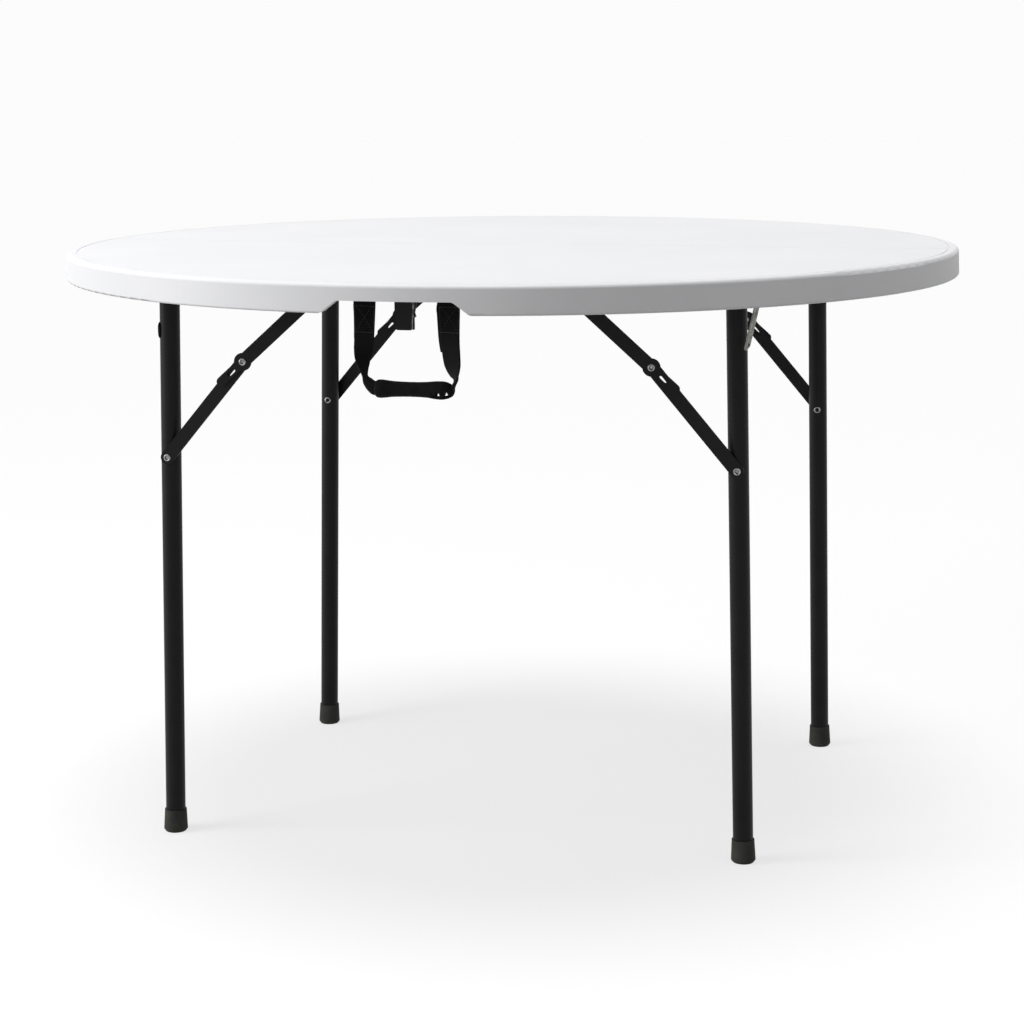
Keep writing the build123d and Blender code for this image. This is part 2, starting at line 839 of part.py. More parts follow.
def latch_catch():
    """Socket on the back half that takes the blade when the table is folded."""
    half = catch_width / 2
    low = deck_underside - catch_height
    near = latch_y - catch_depth / 2
    body = block((-half, -near - catch_depth, low), (half, -near, deck_underside))
    body = fillet(body.edges().filter_by(Axis.Z), catch_slot_clearance)
    half_flange = catch_flange_width / 2
    body += block(
        (-half_flange, -near - catch_depth, deck_underside - catch_flange_thickness),
        (half_flange, -near, deck_underside),
    )
    half_slot = latch_width / 2 + catch_slot_clearance
    slot_reach = latch_thickness / 2 + catch_slot_clearance
    body -= block(
        (-half_slot, -latch_y - slot_reach, low - cut_overrun),
        (half_slot, -latch_y + slot_reach, low + catch_slot_depth),
    )
    for one in catch_screws():
        body -= one
    return to_back(body)


def screws_front():
    found = shared_screws() + keeper_screws() + handle_screws() + latch_screws()
    return Compound(found)


def screws_back():
    found = shared_screws() + keeper_screws() + catch_screws()
    return to_back(Compound(found))


def write(name, shape):
    export_step(shape, f"parts/{name}.step")


def write_legs():
    """Each leg's tube, cap, links and rivets, at all four corners."""
    made = {
        "leg_tube": leg_tube(),
        "foot_cap": foot_cap(),
        "lower_link": lower_link(),
        "upper_link": upper_link(),
        "brace_rivet": brace_rivet(),
        "knee_rivet": knee_rivet(),
        "leg_bracket": leg_bracket(),
        "brace_anchor": brace_anchor(),
    }
    for name, shape in made.items():
        write(f"{name}_fl", outer_leg(shape))
        write(f"{name}_fr", inner_leg(shape))
        write(f"{name}_bl", to_back(inner_leg(shape)))
        write(f"{name}_br", to_back(outer_leg(shape)))
    pad = outer_leg(leg_pad())
    write("leg_pad_fl", pad)
    write("leg_pad_br", to_back(pad))


def write_halves():
    """What is fixed to the two halves of the top."""
    pins = Compound([outer_leg(leg_pin()), inner_leg(leg_pin())])
    rivets = Compound([outer_leg(anchor_rivet()), inner_leg(anchor_rivet())])
    brackets = both_ends(seam_bracket())
    seam_pins = both_ends(seam_pin())
    saddle = keeper_saddle()
    wire = keeper_wire()
    pairs = {
        "leg_pins": pins,
        "anchor_rivets": rivets,
        "seam_brackets": brackets,
        "seam_pins": seam_pins,
        "keeper_saddle": saddle,
        "keeper_wire": wire,
    }
    for name, shape in pairs.items():
        write(f"{name}_front", shape)
        write(f"{name}_back", to_back(shape))
    write("top_half_front", top_half_front())
    write("top_half_back", top_half_back())
    write("screws_front", screws_front())
    write("screws_back", screws_back())
    link = hinge_link()
    write("hinge_link_left", Pos(-seam_hinge_offset, 0, seam_pivot_z) * link)
    write("hinge_link_right", Pos(seam_hinge_offset, 0, seam_pivot_z) * link)


def write_handle():
    write("handle_anchor", handle_anchor())
    write("handle_strap_left", strap(-1, left_strap_shares))
    write("handle_strap_right", strap(1, right_strap_shares))
    write("handle_grip", handle_grip())
    write("latch_plate", latch_plate())
    write("latch_strip", latch_strip())
    write("latch_catch", latch_catch())


write_halves()
write_legs()
write_handle()
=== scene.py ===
import json
from math import cos, pi, radians, sin, tau

import bpy
from mathutils import Matrix, Vector

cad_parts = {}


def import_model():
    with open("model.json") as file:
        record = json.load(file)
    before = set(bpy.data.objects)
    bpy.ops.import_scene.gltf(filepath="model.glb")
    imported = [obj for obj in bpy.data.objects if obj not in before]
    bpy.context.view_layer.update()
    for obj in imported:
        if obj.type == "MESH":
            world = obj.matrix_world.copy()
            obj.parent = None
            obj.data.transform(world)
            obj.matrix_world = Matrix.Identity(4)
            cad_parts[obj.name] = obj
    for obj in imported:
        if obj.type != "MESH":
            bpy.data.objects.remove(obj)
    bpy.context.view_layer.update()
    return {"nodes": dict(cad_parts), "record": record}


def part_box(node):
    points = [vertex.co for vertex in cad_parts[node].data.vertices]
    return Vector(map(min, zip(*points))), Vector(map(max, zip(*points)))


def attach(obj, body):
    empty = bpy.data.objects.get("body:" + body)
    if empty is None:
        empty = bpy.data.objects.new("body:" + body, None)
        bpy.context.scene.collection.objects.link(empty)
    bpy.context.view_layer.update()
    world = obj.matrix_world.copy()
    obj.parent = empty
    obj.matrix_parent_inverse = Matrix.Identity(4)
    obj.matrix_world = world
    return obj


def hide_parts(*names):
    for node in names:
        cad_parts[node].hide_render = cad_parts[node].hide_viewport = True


# Round folding table, seen from a little to the right of the front and slightly above the top.
# Lengths are in metres, in the frame of the solid model: +Z up, the carry handle at -Y. Tables of
# shapes are in millimetres, and say so.

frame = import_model()

MM = 0.001
WHITE = (1, 1, 1, 1)

# Camera, as fitted to the photograph: angles in degrees
IMAGE_SIDE = 1024
SENSOR_WIDTH = 36.0
FOCAL_PIXELS = 2237.5
CAMERA_TURN = 13.051
CAMERA_PITCH = 11.169
CAMERA_ROLL = -0.372
CAMERA_DISTANCE = 2.9441
CAMERA_SIDE_STEP = -0.0032
CAMERA_HEIGHT = 0.9631
CLIP_START = 0.05
CLIP_END = 200.0

# Light: two wide, far lamps, one straight above and a low one from the left, a nearer panel at
# the front left, and even light all round. Spreads, turns and rises are in degrees.
WORLD_STRENGTH = 0.25
BACKDROP_WHITE = 0.972
OVERHEAD_STRENGTH = 1.79
OVERHEAD_SPREAD = 32.0
OVERHEAD_TURN = 0.0
OVERHEAD_RISE = 90.0
SIDE_STRENGTH = 0.75
SIDE_SPREAD = 14.0
SIDE_TURN = -74.0
SIDE_RISE = 8.0
FAR_LAMP_REACH = 4.0
PANEL_POWER = 23.0
PANEL_SIDE = 1.0
PANEL_PLACE = (-2.0, -1.25, 1.55)
PANEL_AIM = (0.0, 0.0, 0.72)
FLOOR_SIDE = 60.0
FLOOR_SHADE = 0.33
FLOOR_GLOW = 0.69

# Looks of the plain materials. A noise is (features to the metre, detail, stretch); a bump is
# (strength, depth in metres).
# colour, roughness, metal, gloss: the shader's own values
# dark, light, patches: the shades that the colour moves between, and the noise that moves it
# grain, rough, bump: the noise of the fine surface, its range of roughness and its bump
# wave: a broad noise and its bump, under the grain
RUBBER = {
    "roughness": 0.75,
    "patches": (60.0,),
    "grain": (1100.0, 3.0),
    "rough": (0.62, 0.85),
    "bump": (0.35, 0.00012),
    "gloss": 0.2,
}
LOOKS = {
    # White blow-moulded plastic: a fine leathery grain and a very slight waviness
    "moulded_white": {
        "colour": (0.855, 0.857, 0.872),
        "roughness": 0.5,
        "dark": (0.845, 0.848, 0.862),
        "light": (0.866, 0.868, 0.882),
        "patches": (6.0,),
        "grain": (520.0, 3.0),
        "rough": (0.44, 0.56),
        "bump": (0.22, 0.00025),
        "wave": ((14.0, 1.0), (0.12, 0.002)),
        "gloss": 0.45,
    },
    # Black powder coat on steel: fine orange peel, slightly glossy
    "powder_black": {
        "colour": (0.005, 0.005, 0.006),
        "roughness": 0.42,
        "dark": (0.004, 0.004, 0.005),
        "light": (0.007, 0.007, 0.008),
        "patches": (28.0,),
        "grain": (1500.0,),
        "rough": (0.34, 0.52),
        "bump": (0.3, 0.00008),
        "gloss": 0.15,
    },
    # Black nylon fittings with a light sandblasted grain
    "moulded_black": {
        "colour": (0.005, 0.005, 0.006),
        "roughness": 0.6,
        "dark": (0.004, 0.004, 0.005),
        "light": (0.007, 0.007, 0.008),
        "patches": (45.0,),
        "grain": (1300.0,),
        "rough": (0.45, 0.65),
        "bump": (0.3, 0.0001),
        "gloss": 0.12,
    },
    # Finely pitted rubber of the foot caps, lighter than that of the stops
    "cap_rubber": {
        **RUBBER,
        "colour": (0.056, 0.059, 0.05),
        "dark": (0.038, 0.04, 0.034),
        "light": (0.056, 0.059, 0.05),
    },
    # Rubber of the stops on the legs, darker than that of the foot caps
    "stop_rubber": {
        **RUBBER,
        "colour": (0.011, 0.011, 0.011),
        "dark": (0.006, 0.006, 0.006),
        "light": (0.011, 0.011, 0.011),
    },
    # Bright zinc plate with faint drawing lines and cloudiness
    "bright_zinc": {
        "colour": (0.72, 0.73, 0.75),
        "roughness": 0.28,
        "metal": 1.0,
        "dark": (0.62, 0.63, 0.66),
        "light": (0.8, 0.8, 0.81),
        "patches": (180.0, 3.0),
        "grain": (900.0, 2.0, (1, 1, 0.08)),
        "rough": (0.2, 0.4),
        "bump": (0.15, 0.00005),
    },
    # Zinc plate that has gone grey, darker where it is handled and in its hollows
    "dull_zinc": {
        "colour": (0.3, 0.3, 0.3),
        "roughness": 0.4,
        "metal": 1.0,
        "dark": (0.16, 0.16, 0.165),
        "light": (0.42, 0.42, 0.43),
        "patches": (420.0, 3.0),
        "grain": (420.0, 3.0),
        "rough": (0.28, 0.5),
        "bump": (0.35, 0.00015),
    },
    # Dull drawn steel wire, greyish green, with fine lines along it
    "drawn_wire": {
        "colour": (0.2, 0.205, 0.19),
        "roughness": 0.42,
        "metal": 1.0,
        "dark": (0.13, 0.135, 0.12),
        "light": (0.27, 0.275, 0.25),
        "patches": (150.0, 3.0),
        "grain": (1200.0, 2.0, (1, 1, 0.1)),
        "rough": (0.32, 0.5),
        "bump": (0.2, 0.00006),
    },
    # Steel edge of the latch plate, mottled and lighter than its paint: a painted highlight on the
    # corner
    "painted_edge_highlight": {
        "colour": (0.2, 0.2, 0.21),
        "roughness": 0.45,
        "metal": 0.6,
        "dark": (0.05, 0.05, 0.055),
        "light": (0.32, 0.32, 0.34),
        "patches": (260.0, 3.0, (1, 1, 0.5)),
        "grain": (260.0, 3.0, (1, 1, 0.5)),
        "rough": (0.35, 0.6),
        "bump": (0.3, 0.0002),
    },
    # Twisted nylon thread, a little glossier than the webbing it sews
    "sewing_thread": {
        "colour": (0.02, 0.02, 0.022),
        "roughness": 0.5,
        "dark": (0.004, 0.004, 0.005),
        "light": (0.009, 0.009, 0.010),
        "patches": (3000.0, 1.0),
        "grain": (3000.0, 1.0),
        "bump": (0.3, 0.0001),
    },
}
SLOT_LOOKS = {
    "white_top": "moulded_white",
    "black_paint": "powder_black",
    "black_rubber": "cap_rubber",
    "zinc_steel": "bright_zinc",
    "black_plastic": "moulded_black",
}
# Where in a noise's range the dark shade ends and the light one starts
PATCH_RANGE = (0.35, 0.65)

# Webbing: shades of its yarns, the wave that makes a yarn, the square in which one yarn is on top,
# and the fuzz on them
WEB_DARK = (0.002, 0.002, 0.0025)
WEB_LIGHT = (0.006, 0.006, 0.006)
WEB_ROUGHNESS = 0.8
YARN_WAVE = {"Scale": 0.5, "Distortion": 0.4, "Detail": 1.0}
YARN_SQUARE = {"Scale": 1.0}
YARN_RANGE = (0.1, 0.9)
YARN_BUMP = (0.6, 0.0004)
WEB_FUZZ = (2600.0, 2.0)
WEB_FUZZ_ROUGH = (0.7, 0.95)
WEB_FUZZ_BUMP = (0.25, 0.0001)
WEB_SHEEN = {"Sheen Weight": 0.05, "Sheen Roughness": 0.5, "Specular IOR Level": 0.12}
# Where a Mix node of floats has the two values that it mixes
MIX_FIRST = 2
MIX_SECOND = 3

# Knitted cover of the grip: shades, ribs round it, loops of the yarn and soft folds
KNIT_COLOUR = (0.006, 0.006, 0.007)
KNIT_DARK = (0.002, 0.002, 0.0025)
KNIT_ROUGHNESS = 0.85
KNIT_RIBS = {"Scale": 260.0, "Distortion": 1.2, "Detail": 2.0, "Detail Scale": 3.0}
KNIT_LOOPS = (1400.0, 2.0)
KNIT_LOOPS_ROUGH = (0.75, 0.95)
KNIT_FOLDS = (90.0, 1.0)
KNIT_FOLD_BUMP = (0.25, 0.0012)
KNIT_RIB_BUMP = (0.35, 0.0002)
KNIT_LOOP_BUMP = (0.3, 0.00012)
KNIT_SHEEN = {"Sheen Weight": 0.03, "Sheen Roughness": 0.5, "Specular IOR Level": 0.12}

# Carry handle, which hangs inside the notch: the rod, and how far below it the grip hangs
ROD = Vector((0.0, -520 * MM, 725 * MM))
GRIP_DROP = 105 * MM

# Webbing of the straps (mm)
WEB_WIDTH = 25.0
WEB_PLY = 1.4
PLY_GAP = 1.75
LOOP_RADIUS = 3.6
BACK_PLY_STEP = 7.0
STRAP_RINGS = 150
STRAP_SIDES = 20
STRAP_YARNS = 16
YARN_RUN = 1.7
# How square the webbing's outline is: 1 is an ellipse, and less is squarer
EDGE_POWER = 0.35
FACE_POWER = 0.6

# Down the front ply of each strap, from the rod into the grip: place along X, place behind the
# rod, height above the grip, width, thickness (mm) and twist (degrees)
LEFT_STRAP = (
    (-46.6, -1.4, 97.0, 25.2, WEB_PLY, 2.0),
    (-46.8, -1.2, 88.0, 24.8, WEB_PLY, 2.0),
    (-47.2, -1.0, 73.0, 23.6, 1.5, 3.0),
    (-48.0, -0.8, 54.6, 22.2, 1.7, 7.0),
    (-49.3, -0.4, 42.0, 20.8, 2.0, 20.0),
    (-50.0, 0.0, 33.0, 18.4, 2.4, 31.0),
    (-49.5, 0.0, 25.0, 15.0, 2.8, 49.0),
    (-48.6, 0.0, 18.0, 11.8, 3.2, 69.0),
    (-48.0, 0.0, 13.6, 11.5, 3.6, 84.0),
    (-46.9, 0.0, 10.6, 13.0, 6.4, 92.0),
    (-45.0, 0.0, 7.7, 13.0, 9.4, 92.0),
    (-40.8, 0.0, 3.2, 13.0, 12.2, 92.0),
    (-35.8, 0.0, 0.4, 13.0, 15.0, 92.0),
    (-30.0, 0.0, 0.0, 12.0, 13.0, 90.0),
    (-24.0, 0.0, 0.0, 11.0, 11.0, 90.0),
)
RIGHT_STRAP = (
    (49.2, -1.4, 97.0, WEB_WIDTH, WEB_PLY, -6.0),
    (49.2, -1.2, 88.0, WEB_WIDTH, WEB_PLY, -8.0),
    (49.2, -1.0, 73.0, WEB_WIDTH, 1.5, -13.0),
    (49.4, -0.8, 54.6, WEB_WIDTH, 1.7, -18.0),
    (50.4, -0.6, 42.0, WEB_WIDTH, 1.9, -23.0),
    (51.4, -0.3, 30.5, 24.8, 2.2, -28.0),
    (52.2, 0.0, 24.5, 24.2, 2.5, -34.0),
    (53.6, 0.0, 17.6, 22.5, 2.8, -47.0),
    (54.9, 0.0, 13.0, 19.0, 3.2, -60.0),
    (54.6, 0.0, 9.2, 15.0, 3.8, -72.0),
    (53.0, 0.0, 5.8, 12.0, 4.2, -84.0),
    (51.6, 0.0, 2.2, 10.0, 4.2, -90.0),
    (51.6, 0.0, -1.8, 9.0, 3.8, -90.0),
    (49.2, 0.0, -6.0, 9.0, 3.6, -90.0),
    (42.0, 0.0, -8.3, 9.0, 3.4, -90.0),
    (34.5, 0.0, -8.4, 9.0, 3.2, -90.0),
    (26.0, 0.0, -7.2, 9.0, 3.0, -90.0),
    (16.0, 0.0, -4.0, 9.0, 3.0, -90.0),
)
# Where each strap is doubled: height above the grip of the cut end of the ply sewn on behind,
# and how far that ply sits off the front one (mm), towards +X
LEFT_CUT_END = 54.0
LEFT_PLY_SLIP = -0.6
RIGHT_CUT_END = 41.7
RIGHT_PLY_SLIP = -3.4

# Stitches, a sewn box with a cross in it: heights above the grip between which the box lies (mm),
# how far across the webbing its rows and sides reach, as a share of half its width, and the lean
# of the cross (radians)
BOX_LOW = 62.0
BOX_HIGH = 92.0
BOX_REACH = 0.8
BOX_SIDE = 0.88
STITCHES_ACROSS = 11
CROSS_LEAN = 0.9
# One stitch: its half length and radius (mm), and its radius along it, from end to end
STITCH_HALF = 1.0
STITCH_RADIUS = 0.33
STITCH_SIDES = 6
STITCH_SWELL = ((-1.0, 0.35), (-0.6, 0.9), (0.6, 0.9), (1.0, 0.35))

# Padded sleeve round the grip: place along X, radius, and how far the lower side is cut away (mm)
SLEEVE_ROWS = (
    (-36.4, 6.2, 0.0),
    (-35.6, 8.2, 0.0),
    (-33.6, 9.8, 0.0),
    (-30.0, 10.3, 0.0),
    (-25.0, 9.9, 0.0),
    (-15.0, 8.8, 0.0),
    (0.0, 8.3, 0.0),
    (15.0, 8.4, 0.0),
    (24.0, 8.9, 0.0),
    (29.0, 9.4, 0.4),
    (31.2, 9.6, 4.6),
    (33.0, 9.7, 0.8),
    (34.6, 9.8, 7.4),
    (36.8, 9.8, 9.4),
    (38.6, 9.8, 1.5),
    (40.6, 9.8, 0.5),
    (42.4, 9.6, 3.5),
    (44.0, 9.3, 12.2),
    (45.6, 8.9, 12.6),
    (47.2, 8.3, 3.0),
    (49.6, 7.0, 2.0),
    (51.2, 4.8, 2.0),
    (52.0, 3.0, 1.5),
)
SLEEVE_RINGS = 96
SLEEVE_SIDES = 40
SLEEVE_VOXEL = 1.1
CUT_POWER = 1.5
# Where the sleeve is held while it fills: along its seam, at its gathered left end, and low down
# at its right end (mm); the seam is then pulled in, short of the ends
SEAM_HALF = 1.4
SEAM_PULL = 0.5
SEAM_REACH = 36.0
LEFT_GATHER = -35.6
RIGHT_CUT_START = 29.0
RIGHT_CUT_TOP = 2.0
# The filling: pressure inside, and how far a point may move (mm)
FILL_PRESSURE = 4.0
FILL_CAP = 0.7
FILL_FRAMES = 20
CLOTH = {
    "quality": 5,
    "mass": 0.2,
    "tension_stiffness": 12,
    "compression_stiffness": 12,
    "bending_stiffness": 0.3,
}

# A hollow rivet's rolled head, from its rim inward: (radius, height above the face it sits on),
# in millimetres
RIVET_CORE = 0.4
RIVET_HEAD = (
    (4.6, 0.0),
    (4.6, 0.35),
    (4.35, 0.85),
    (3.9, 1.2),
    (3.4, 1.3),
    (2.9, 1.15),
    (2.6, 0.7),
    (2.45, 0.0),
    (2.3, -1.3),
    (1.2, -1.5),
    (RIVET_CORE, -1.5),
)
RIVET_SHANK = 3.0
RIVET_SIDES = 32
# Out from the middle of a leg's tube (mm): the tube's own face, which the far head is sunk into,
# the outer face of the lower link at the leg, and the faces of the upper link at the knee
TUBE_RADIUS = 12.5
FAR_HEAD_SUNK = 0.6
LOWER_LINK_FACE = 14.9
UPPER_LINK_INNER = 15.1
UPPER_LINK_OUTER = 17.1
# The knee rivet's tail, in the lower link: (radius, place out from the tube's middle), in
# millimetres
KNEE_TAIL = (
    (RIVET_CORE, 13.5),
    (1.6, 13.5),
    (1.9, 13.0),
    (2.7, 12.95),
    (RIVET_SHANK, 13.1),
    (RIVET_SHANK, 14.85),
    (RIVET_CORE, 14.85),
)

# Rubber stops on two legs: the legs, with the sign along X of their outer side, how far a stop
# stands proud there, as a share of its solid, and how round it is
STOPPED_LEGS = (("fl", -1), ("br", 1))
BUMPER_RINGS = 24
BUMPER_SIDES = 24
BUMPER_PROUD = 0.62
BUMPER_POWER = 0.8
BUMPER_END_POWER = 4
BUMPER_END_SHARE = 0.02

# Folded lip down the right edge of the latch plate: height above the plate's tip, where its bright
# edge, a painted highlight, starts, where that ends, and where its dark back ends, from the plate's
# middle (mm)
LATCH_LIP_ROWS = (
    (0.8, 9.0, 10.0, 11.6),
    (4.0, 9.0, 10.2, 11.7),
    (9.0, 9.1, 10.3, 11.7),
    (13.6, 9.2, 10.7, 11.7),
    (15.2, 9.3, 12.0, 13.7),
    (17.5, 9.3, 11.2, 12.9),
    (19.5, 9.4, 11.4, 12.3),
    (22.0, 9.5, 11.6, 12.9),
    (25.0, 9.5, 12.0, 13.5),
    (30.0, 9.5, 12.2, 13.8),
    (41.0, 9.5, 12.2, 13.8),
)
# How far the bright edge and the dark fold reach before and behind the plate's face (mm)
LIP_FRONT = 0.9
LIP_BACK = 1.2
LIP_EDGE = 0.35
FOLD_BACK = 2.4


def camera():
    """A camera at the photograph's viewing angle."""
    turn = radians(CAMERA_TURN)
    pitch = radians(CAMERA_PITCH)
    ahead = Vector((-sin(turn) * cos(pitch), cos(turn) * cos(pitch), -sin(pitch)))
    right = Vector((cos(turn), sin(turn), 0))
    place = Vector((sin(turn), -cos(turn), 0)) * CAMERA_DISTANCE + right * CAMERA_SIDE_STEP
    place.z = CAMERA_HEIGHT
    up = right.cross(ahead)
    roll = radians(CAMERA_ROLL)
    rolled_right = right * cos(roll) + up * sin(roll)
    rolled_up = up * cos(roll) - right * sin(roll)
    data = bpy.data.cameras.new("camera")
    data.sensor_width = SENSOR_WIDTH
    data.lens = FOCAL_PIXELS / IMAGE_SIDE * SENSOR_WIDTH
    data.clip_start = CLIP_START
    data.clip_end = CLIP_END
    item = bpy.data.objects.new("camera", data)
    axes = Matrix((rolled_right, rolled_up, -ahead)).transposed().to_4x4()
    item.matrix_world = Matrix.Translation(place) @ axes
    bpy.context.collection.objects.link(item)
    bpy.context.scene.camera = item


def seen_directly(nodes, links):
    """A value of 1 for camera, glossy and transmission rays, and 0 for the rest."""
    path = nodes.new("ShaderNodeLightPath")
    first = nodes.new("ShaderNodeMath")
    first.operation = "MAXIMUM"
    second = nodes.new("ShaderNodeMath")
    second.operation = "MAXIMUM"
    links.new(path.outputs["Is Camera Ray"], first.inputs[0])
    links.new(path.outputs["Is Glossy Ray"], first.inputs[1])
    links.new(first.outputs[0], second.inputs[0])
    links.new(path.outputs["Is Transmission Ray"], second.inputs[1])
    return second.outputs[0]


def world():
    """Even studio light, with a plain white backdrop where it is seen."""
    made = bpy.data.worlds.new("studio")
    made.use_nodes = True
    bpy.context.scene.world = made
    nodes = made.node_tree.nodes
    links = made.node_tree.links
    nodes.clear()
    light = nodes.new("ShaderNodeBackground")
    light.inputs["Color"].default_value = WHITE
    light.inputs["Strength"].default_value = WORLD_STRENGTH
    backdrop = nodes.new("ShaderNodeBackground")
    backdrop.inputs["Color"].default_value = (BACKDROP_WHITE, BACKDROP_WHITE, BACKDROP_WHITE, 1)
    backdrop.inputs["Strength"].default_value = 1.0
    mix = nodes.new("ShaderNodeMixShader")
    out = nodes.new("ShaderNodeOutputWorld")
    links.new(seen_directly(nodes, links), mix.inputs[0])
    links.new(light.outputs[0], mix.inputs[1])
    links.new(backdrop.outputs[0], mix.inputs[2])
    links.new(mix.outputs[0], out.inputs[0])


def floor_material():
    """Matt and pale, white where it is seen directly, and clear from below."""
    made = bpy.data.materials.new("floor")
    made.use_nodes = True
    nodes = made.node_tree.nodes
    links = made.node_tree.links
    nodes.clear()
    matte = nodes.new("ShaderNodeBsdfDiffuse")
    matte.inputs["Color"].default_value = (FLOOR_SHADE, FLOOR_SHADE, FLOOR_SHADE, 1)
    strength = nodes.new("ShaderNodeMath")
    strength.operation = "MULTIPLY"
    strength.inputs[1].default_value = FLOOR_GLOW
    glow = nodes.new("ShaderNodeEmission")
    both = nodes.new("ShaderNodeAddShader")
    side = nodes.new("ShaderNodeNewGeometry")
    clear = nodes.new("ShaderNodeBsdfTransparent")
    one_sided = nodes.new("ShaderNodeMixShader")
    out = nodes.new("ShaderNodeOutputMaterial")
    links.new(seen_directly(nodes, links), strength.inputs[0])
    links.new(strength.outputs[0], glow.inputs["Strength"])
    links.new(matte.outputs[0], both.inputs[0])
    links.new(glow.outputs[0], both.inputs[1])
    links.new(side.outputs["Backfacing"], one_sided.inputs[0])
    links.new(both.outputs[0], one_sided.inputs[1])
    links.new(clear.outputs[0], one_sided.inputs[2])
    links.new(one_sided.outputs[0], out.inputs[0])
    return made


def floor():
    """Pale floor that keeps the table's shadow; it is clear from below, to show the underside."""
    mesh = bpy.data.meshes.new("floor")
    half = FLOOR_SIDE / 2
    corners = [(-half, -half, 0), (half, -half, 0), (half, half, 0), (-half, half, 0)]
    mesh.from_pydata(corners, [], [(0, 1, 2, 3)])
    item = bpy.data.objects.new("floor", mesh)
    bpy.context.collection.objects.link(item)
    mesh.materials.append(floor_material())


def far_lamp(name, strength, spread, turn, rise):
    """A sun with a wide disc, so that its shadows are soft; turn is from -Y towards +X."""
    data = bpy.data.lights.new(name, "SUN")
    data.energy = strength
    data.angle = radians(spread)
    item = bpy.data.objects.new(name, data)
    level = cos(radians(rise))
    towards = Vector((sin(radians(turn)) * level, -cos(radians(turn)) * level, sin(radians(rise))))
    item.rotation_euler = (-towards).to_track_quat("-Z", "Y").to_euler()
    item.location = towards * FAR_LAMP_REACH
    bpy.context.collection.objects.link(item)


def panel_lamp():
    """A square soft panel, nearer than the far lamps, so its light falls off across the top."""
    data = bpy.data.lights.new("panel", "AREA")
    data.shape = "SQUARE"
    data.size = PANEL_SIDE
    data.energy = PANEL_POWER
    item = bpy.data.objects.new("panel", data)
    item.location = PANEL_PLACE
    aim = Vector(PANEL_AIM) - Vector(PANEL_PLACE)
    item.rotation_euler = aim.to_track_quat("-Z", "Y").to_euler()
    bpy.context.collection.objects.link(item)


def set_inputs(node, values):
    """Sets a node's inputs by their names."""
    for name, value in values.items():
        node.inputs[name].default_value = value


def new_material(name, colour, roughness, metal=0.0):
    """A principled material and what is needed to add grain to it."""
    made = bpy.data.materials.new(name)
    made.use_nodes = True
    nodes = made.node_tree.nodes
    shader = nodes["Principled BSDF"]
    set_inputs(shader, {"Base Color": (*colour, 1), "Roughness": roughness, "Metallic": metal})
    return made, nodes, made.node_tree.links, shader


def object_noise(nodes, links, scale, detail=2.0, stretch=(1, 1, 1)):
    """Noise in the object's own coordinates, scale features to the metre."""
    coord = nodes.new("ShaderNodeTexCoord")
    place = nodes.new("ShaderNodeMapping")
    noise = nodes.new("ShaderNodeTexNoise")
    set_inputs(place, {"Scale": stretch})
    set_inputs(noise, {"Scale": scale, "Detail": detail})
    links.new(coord.outputs["Object"], place.inputs["Vector"])
    links.new(place.outputs["Vector"], noise.inputs["Vector"])
    return noise.outputs["Fac"]


def vary_colour(nodes, links, shader, source, dark, light, limits=PATCH_RANGE):
    """Lets the base colour move between two near shades."""
    ramp = nodes.new("ShaderNodeValToRGB")
    for stop, place, shade in zip(ramp.color_ramp.elements, limits, (dark, light)):
        stop.position = place
        stop.color = (*shade, 1)
    links.new(source, ramp.inputs["Fac"])
    links.new(ramp.outputs["Color"], shader.inputs["Base Color"])


def vary_roughness(nodes, links, shader, source, limits):
    """Lets the roughness move between two limits."""
    spread = nodes.new("ShaderNodeMapRange")
    set_inputs(spread, {"To Min": limits[0], "To Max": limits[1]})
    links.new(source, spread.inputs["Value"])
    links.new(spread.outputs["Result"], shader.inputs["Roughness"])


def add_bump(nodes, links, shader, source, bump_size):
    """Adds one layer of bump, given as (strength, depth), on top of any that is there."""
    bump = nodes.new("ShaderNodeBump")
    set_inputs(bump, {"Strength": bump_size[0], "Distance": bump_size[1]})
    links.new(source, bump.inputs["Height"])
    under = shader.inputs["Normal"].links
    if under:
        links.new(under[0].from_socket, bump.inputs["Normal"])
    links.new(bump.outputs["Normal"], shader.inputs["Normal"])


def plain_material(name):
    """A material by its row in LOOKS: shades in patches, and one fine grain."""
    look = LOOKS[name]
    made, nodes, links, shader = new_material(
        name, look["colour"], look["roughness"], look.get("metal", 0.0)
    )
    patches = object_noise(nodes, links, *look["patches"])
    vary_colour(nodes, links, shader, patches, look["dark"], look["light"])
    grain = object_noise(nodes, links, *look["grain"])
    if "rough" in look:
        vary_roughness(nodes, links, shader, grain, look["rough"])
    if "wave" in look:
        wave, wave_bump = look["wave"]
        add_bump(nodes, links, shader, object_noise(nodes, links, *wave), wave_bump)
    add_bump(nodes, links, shader, grain, look["bump"])
    if "gloss" in look:
        set_inputs(shader, {"Specular IOR Level": look["gloss"]})
    return made


def band_wave(nodes, links, direction, settings, source):
    """Even bands across one direction of a set of coordinates."""
    wave = nodes.new("ShaderNodeTexWave")
    wave.wave_type = "BANDS"
    wave.bands_direction = direction
    set_inputs(wave, settings)
    links.new(source, wave.inputs["Vector"])
    return wave.outputs["Fac"]


